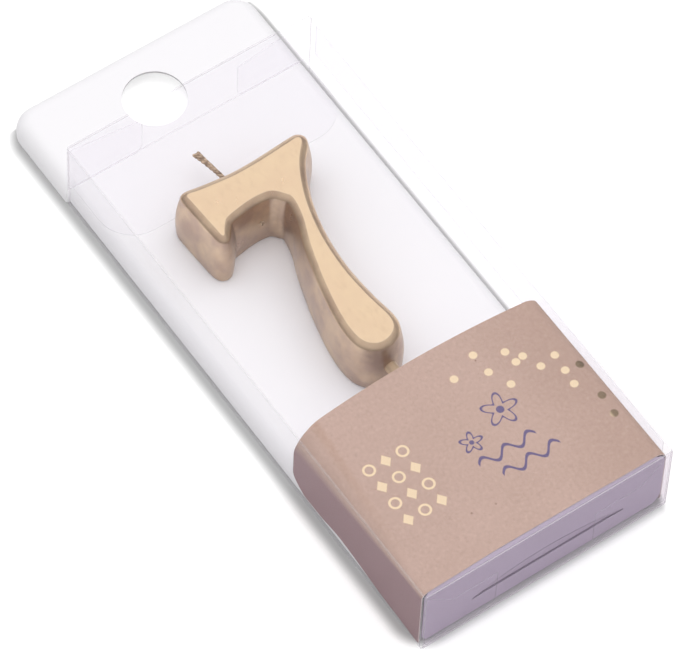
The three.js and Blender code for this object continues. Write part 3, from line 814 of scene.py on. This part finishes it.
def kraft_finish():
    made, tree, shader, place = start_material("kraft_card")
    flat = node(tree, "VectorMath", {0: place, 1: (1 / MM, 1 / MM, 0)}, operation="MULTIPLY")
    x, y = in_mm(tree, place, ACROSS, ALONG)
    clouds = noise_on(tree, place, 60, 4.0, 0.65)
    fibres = noise_on(tree, node(tree, "Mapping", {"Vector": place, "Scale": (1.0, 0.8, 1.0)}), 1300, 4.0, 0.75)
    cloudy = remap(tree, clouds, 0.3, 0.7, 0.0, 1.0)
    card_colour = colours(tree, cloudy, (0.535, 0.375, 0.310, 1), (0.575, 0.405, 0.340, 1))
    card_colour = colours(tree, remap(tree, fibres, 0.52, 0.72, 0.0, 0.34), card_colour, (0.36, 0.25, 0.20, 1))
    card_colour = colours(tree, remap(tree, fibres, 0.48, 0.28, 0.0, 0.32), card_colour, (0.76, 0.60, 0.52, 1))
    card_colour = colours(tree, scattered(tree, place, 170, 0.045, 0.72), card_colour, (0.30, 0.19, 0.14, 1))
    normal = node(tree, "SeparateXYZ", {0: node(tree, "TexCoord", out="Normal")}).node
    up = normal.outputs["Z"]
    # Painted shade: the sides, turned from the light, get a darker, more mauve colour.
    side_shade = colours(tree, clouds, (0.355, 0.215, 0.225, 1), (0.385, 0.235, 0.25, 1))
    card_colour = colours(tree, remap(tree, up, 0.10, 0.55, 1.0, 0.0, "SMOOTHSTEP"), card_colour, side_shade)
    # Painted shade darkens the front towards the right fold.
    right_painted_shade = remap(tree, x, 8.0, 31.0, 0.0, 0.22, "SMOOTHSTEP")
    card_colour = colours(tree, right_painted_shade, card_colour, (0.30, 0.18, 0.13, 1))
    # Painted shade: a darker band along the left fold, fading towards the foot.
    open_fold = remap(tree, y, fold_foot, fold_mouth, 0.0, 1.0)
    fold_place = remap(tree, y, fold_foot, fold_mouth, -30.6, -27.2)
    fold_painted_shade = maths(tree, "ABSOLUTE", maths(tree, "SUBTRACT", x, fold_place))
    fold_painted_shade = maths(tree, "MULTIPLY", remap(tree, fold_painted_shade, 0.2, 1.6, 0.30, 0.0, "SMOOTHSTEP"), open_fold)
    card_colour = colours(tree, fold_painted_shade, card_colour, (0.42, 0.25, 0.16, 1))
    # Cut edges are paler, partly the card's pale core and partly a painted highlight.
    pale_edge_and_highlight = remap(tree, maths(tree, "ABSOLUTE", normal.outputs["Y"]), 0.6, 0.9, 0.0, 1.0)
    card_colour = colours(tree, pale_edge_and_highlight, card_colour, (0.74, 0.62, 0.62, 1))
    printed = maths(tree, "GREATER_THAN", up, 0.25)
    gold = maths(tree, "MAXIMUM", dots(tree, flat, confetti, 0.97), foil_block(tree, x, y))
    gold = maths(tree, "MULTIPLY", gold, printed)
    ink = maths(tree, "MAXIMUM", *(flower(tree, x, y, *place_and_reach) for place_and_reach in flowers))
    for left, right, height in streamers:
        ink = maths(tree, "MAXIMUM", ink, streamer(tree, x, y, left, right, height))
    ink = maths(tree, "MULTIPLY", ink, printed)
    full = colours(tree, maths(tree, "MULTIPLY", ink, 0.88), card_colour, (0.105, 0.088, 0.235, 1))
    turned_away = remap(tree, x, *print_turns_dark, 0.0, 0.90)
    foil = colours(tree, turned_away, (0.96, 0.77, 0.53, 1), (0.20, 0.14, 0.09, 1))
    full = colours(tree, gold, full, foil)
    grain = maths(tree, "ADD", maths(tree, "MULTIPLY", fibres, 0.5), noise_on(tree, place, 700, 3.0))
    grain = maths(tree, "ADD", grain, maths(tree, "MULTIPLY", gold, 0.15))
    bump = node(tree, "Bump", {"Strength": 0.35, "Distance": 0.08 * MM, "Height": grain})
    link(tree, shader, Base_Color=full, Metallic=maths(tree, "MULTIPLY", gold, 0.85),
         Roughness=remap(tree, gold, 0.0, 1.0, 0.82, 0.38), Normal=bump)
    shader.inputs["Specular IOR Level"].default_value = 0.35
    return made


dress(band, kraft_finish())
put_in_place(band, "tray", "kraft_card", "kraft_band")

# %% [markdown]
# ## The end card
# The pocket's foot is closed by white card with a thumb tab: a straight slit with a pressed curve above it. The
# card's upper edge curls in under the kraft's edge, and its other edges are softly turned. A grid is fitted to the
# rounded outline, its rows are bent round the curl, it is given its thickness, and a thin blade cuts the slit. The
# card is coloured lilac-grey as white card in painted shade, and the slit and the pressed curve get dark lines of
# painted shade.

# %% Shape the end card
end_low, end_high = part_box("pocket_end_panel")
tab_left, tab_right, tab_slit, tab_rise = -19.0, 21.4, 7.0, 3.6
end_sheet, edge_curl, lip_reach, slit_high = 0.40, 0.45, 0.45, 0.20


def corner_inset(z, low, high, low_radius, high_radius):
    inset = 0.0
    if z > high - high_radius:
        inset = high_radius - math.sqrt(max(0.0, high_radius ** 2 - (z - high + high_radius) ** 2))
    if z < low + low_radius:
        inset = low_radius - math.sqrt(max(0.0, low_radius ** 2 - (low + low_radius - z) ** 2))
    return inset


def curl(depth, distance):
    share = min(1.0, max(0.0, 1 - distance / depth))
    return depth * (1 - math.sqrt(1 - share * share))


def shape_end_card(flat_rows=0.80):
    bpy.ops.object.select_all(action="DESELECT")
    bpy.ops.mesh.primitive_grid_add(x_subdivisions=140, y_subdivisions=70, size=2)
    piece = bpy.context.object
    piece.name = "end_card"
    left, right, low = end_low.x / MM, end_high.x / MM, end_low.z / MM
    high = band_high.z / MM - card - 0.03
    front = end_low.y / MM + 0.02
    for vert in piece.data.vertices:
        across, up = (vert.co.x + 1) / 2, (vert.co.y + 1) / 2
        across = 0.5 * across + 0.5 * (0.5 - 0.5 * math.cos(math.pi * across))
        reach = foot_edge(left + (right - left) * across) + lip_reach - front
        height = min(2.0, 0.35 + 0.75 * reach)
        if up < flat_rows:
            z, back = low + (high - height - low) * up / flat_rows, 0.0
        else:
            turn = (up - flat_rows) / (1 - flat_rows) * math.pi / 2
            z, back = high - height * (1 - math.sin(turn)), reach * (1 - math.cos(turn))
        x_low = left + corner_inset(z, low, high, 2.0, 1.5)
        x_high = right - corner_inset(z, low, high, 3.5, 3.0)
        x = x_low + (x_high - x_low) * across
        y = front + max(back, curl(edge_curl, min(x - x_low, x_high - x)), curl(edge_curl, z - low))
        share = (x - tab_left) / (tab_right - tab_left)
        if 0 < share < 1:
            rise = tab_rise * 4 * share * (1 - share) * (1.1 - 0.2 * share)
            pressed = 1 - (z - tab_slit) / max(rise, 0.01)
            if 0 <= pressed <= 1:
                y += 0.40 * min(1.0, 2.5 * pressed) * min(1.0, rise / 1.2)
        vert.co = Vector((x, y, z)) * MM
    apply_modifier(piece, "SOLIDIFY", thickness=end_sheet * MM, offset=-1)
    bpy.ops.mesh.primitive_cube_add(size=1)
    blade = bpy.context.object
    blade.scale = ((tab_right - tab_left) * MM, 3 * MM, slit_high * MM)
    blade.location = ((tab_left + tab_right) / 2 * MM, end_low.y, (tab_slit - 0.08) * MM)
    join_with(piece, blade, "DIFFERENCE")
    return piece


end_card = shape_end_card()
smooth(end_card, 30)


def tab_lines(tree, place, tint):
    x, z = in_mm(tree, place, ACROSS, UP)
    share = maths(tree, "DIVIDE", maths(tree, "SUBTRACT", x, tab_left), tab_right - tab_left)
    hump = maths(tree, "MULTIPLY", share, maths(tree, "SUBTRACT", 1.0, share))
    lift = maths(tree, "MULTIPLY", hump, maths(tree, "ADD", 1.1, maths(tree, "MULTIPLY", share, -0.2)))
    rise = maths(tree, "ADD", maths(tree, "MULTIPLY", lift, 4 * tab_rise), tab_slit)
    on_tab = within(tree, x, tab_left, tab_right)
    # The slit and the pressed curve are drawn as dark lines, painted shade of the cut and the crease.
    slit = inside(tree, maths(tree, "ABSOLUTE", maths(tree, "SUBTRACT", z, tab_slit - 0.05)), 0.13, 0.07)
    painted_crease_shade = inside(tree, maths(tree, "ABSOLUTE", maths(tree, "SUBTRACT", z, rise)), 0.26, 0.14)
    pressed = maths(tree, "MULTIPLY", maths(tree, "MULTIPLY", painted_crease_shade, on_tab), 0.85)
    tint = colours(tree, pressed, tint, (0.20, 0.15, 0.24, 1))
    cut = maths(tree, "MULTIPLY", maths(tree, "MULTIPLY", slit, on_tab), 0.9)
    return colours(tree, cut, tint, (0.07, 0.05, 0.08, 1))


def white_card_finish(name, shade, with_tab):
    made, tree, shader, place = start_material(name)
    clouds = noise_on(tree, place, 110, 4.0)
    tint = colours(tree, clouds, tuple(v * 0.94 for v in shade) + (1,), tuple(shade) + (1,))
    if with_tab:
        tint = tab_lines(tree, place, tint)
    grain = noise_on(tree, place, 1500, 2.0)
    link(tree, shader, Base_Color=tint,
         Roughness=remap(tree, grain, 0.3, 0.7, 0.55, 0.7),
         Normal=node(tree, "Bump", {"Strength": 0.2, "Distance": 0.05 * MM, "Height": grain}))
    shader.inputs["Specular IOR Level"].default_value = 0.35
    return made


# The end card is white card with its shade painted in, so its colour is a lilac-grey.
dress(end_card, white_card_finish("white_card", (0.58, 0.495, 0.625), True))
put_in_place(end_card, "tray", "white_card", "pocket_end_panel")
dress(nodes["pocket_mouth_panel"], white_card_finish("mouth_card", (0.84, 0.82, 0.86), False))

# %% [markdown]
# ## The white tray
# The tray is formed from white sheet over a mould: a shallow block inside the case and a tab block outside it,
# both with soft shoulders, and a round hole to hang it by. Each block is drawn out through rounded rectangles,
# the two are joined with a boolean, and the same blocks made smaller hollow the tray from below.

# %% Shape the tray
tray_low, tray_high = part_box("tray")
case_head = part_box("case_sleeve")[1].y / MM
wall, shoulder, shoulder_steps = 0.6, 4.0, 12
body_left, body_round, body_rim, tab_gap = -32.28, 4.6, 0.75, 0.3
hole_reach = 10.15


def round_rectangle(left, right, low, high, radii, inset, steps=14):
    radii = [max(r - inset, 0.05) for r in radii]
    left, right, low, high = left + inset, right - inset, low + inset, high - inset
    corners = [(left + radii[0], low + radii[0], radii[0], math.pi),
               (right - radii[1], low + radii[1], radii[1], 1.5 * math.pi),
               (right - radii[2], high - radii[2], radii[2], 0.0),
               (left + radii[3], high - radii[3], radii[3], 0.5 * math.pi)]
    return [(x + r * math.cos(start + k / steps * math.pi / 2), y + r * math.sin(start + k / steps * math.pi / 2))
            for x, y, r, start in corners for k in range(steps + 1)]


def tray_block(name, left, right, foot, head, radii, inset, low):
    top, radius = tray_high.z / MM - inset, shoulder - inset

    def ring(extra, z):
        return [Vector((x * MM, y * MM, z * MM))
                for x, y in round_rectangle(left, right, foot, head, radii, inset + extra)]

    rings = [ring(0, low)]
    for k in range(shoulder_steps + 1):
        turn = k / shoulder_steps * math.pi / 2
        rings.append(ring(radius * (1 - math.cos(turn)), top - radius * (1 - math.sin(turn))))
    return draw_out(name, rings)


def shape_tray():
    right, foot, head = tray_high.x / MM, tray_low.y / MM, tray_high.y / MM
    body = (body_left, right, foot, case_head + tab_gap + 2 * shoulder, [body_round] * 4)
    tab = (tray_low.x / MM, right, case_head + tab_gap, head, [0.8, 0.8, 6.0, 6.0])
    below = tray_low.z / MM - wall
    piece = tray_block("tray_moulded", *body, 0, body_rim)
    join_with(piece, tray_block("tab", *tab, 0, tray_low.z / MM), "UNION")
    join_with(piece, tray_block("body_hollow", *body, wall, below), "DIFFERENCE")
    join_with(piece, tray_block("tab_hollow", *tab, wall, below), "DIFFERENCE")
    bpy.ops.object.select_all(action="DESELECT")
    bpy.ops.mesh.primitive_cylinder_add(vertices=96, radius=hole_radius * MM, depth=20 * MM,
                                        location=(hole_x * MM, (case_head + hole_reach) * MM, 5 * MM))
    join_with(piece, bpy.context.object, "DIFFERENCE")
    return piece


tray = shape_tray()
smooth(tray, 32)


def tray_finish():
    made, tree, shader, place = start_material("white_tray")
    clouds = noise_on(tree, place, 35, 3.0)
    grain = noise_on(tree, place, 1800, 2.0)
    link(tree, shader, Base_Color=colours(tree, clouds, (0.935, 0.922, 0.945, 1), (0.955, 0.943, 0.963, 1)),
         Roughness=remap(tree, clouds, 0.3, 0.7, 0.45, 0.6),
         Normal=node(tree, "Bump", {"Strength": 0.12, "Distance": 0.04 * MM, "Height": grain}))
    shader.inputs["Specular IOR Level"].default_value = 0.3
    return made


dress(tray, tray_finish())
put_in_place(tray, "tray", "white_tray", "tray")
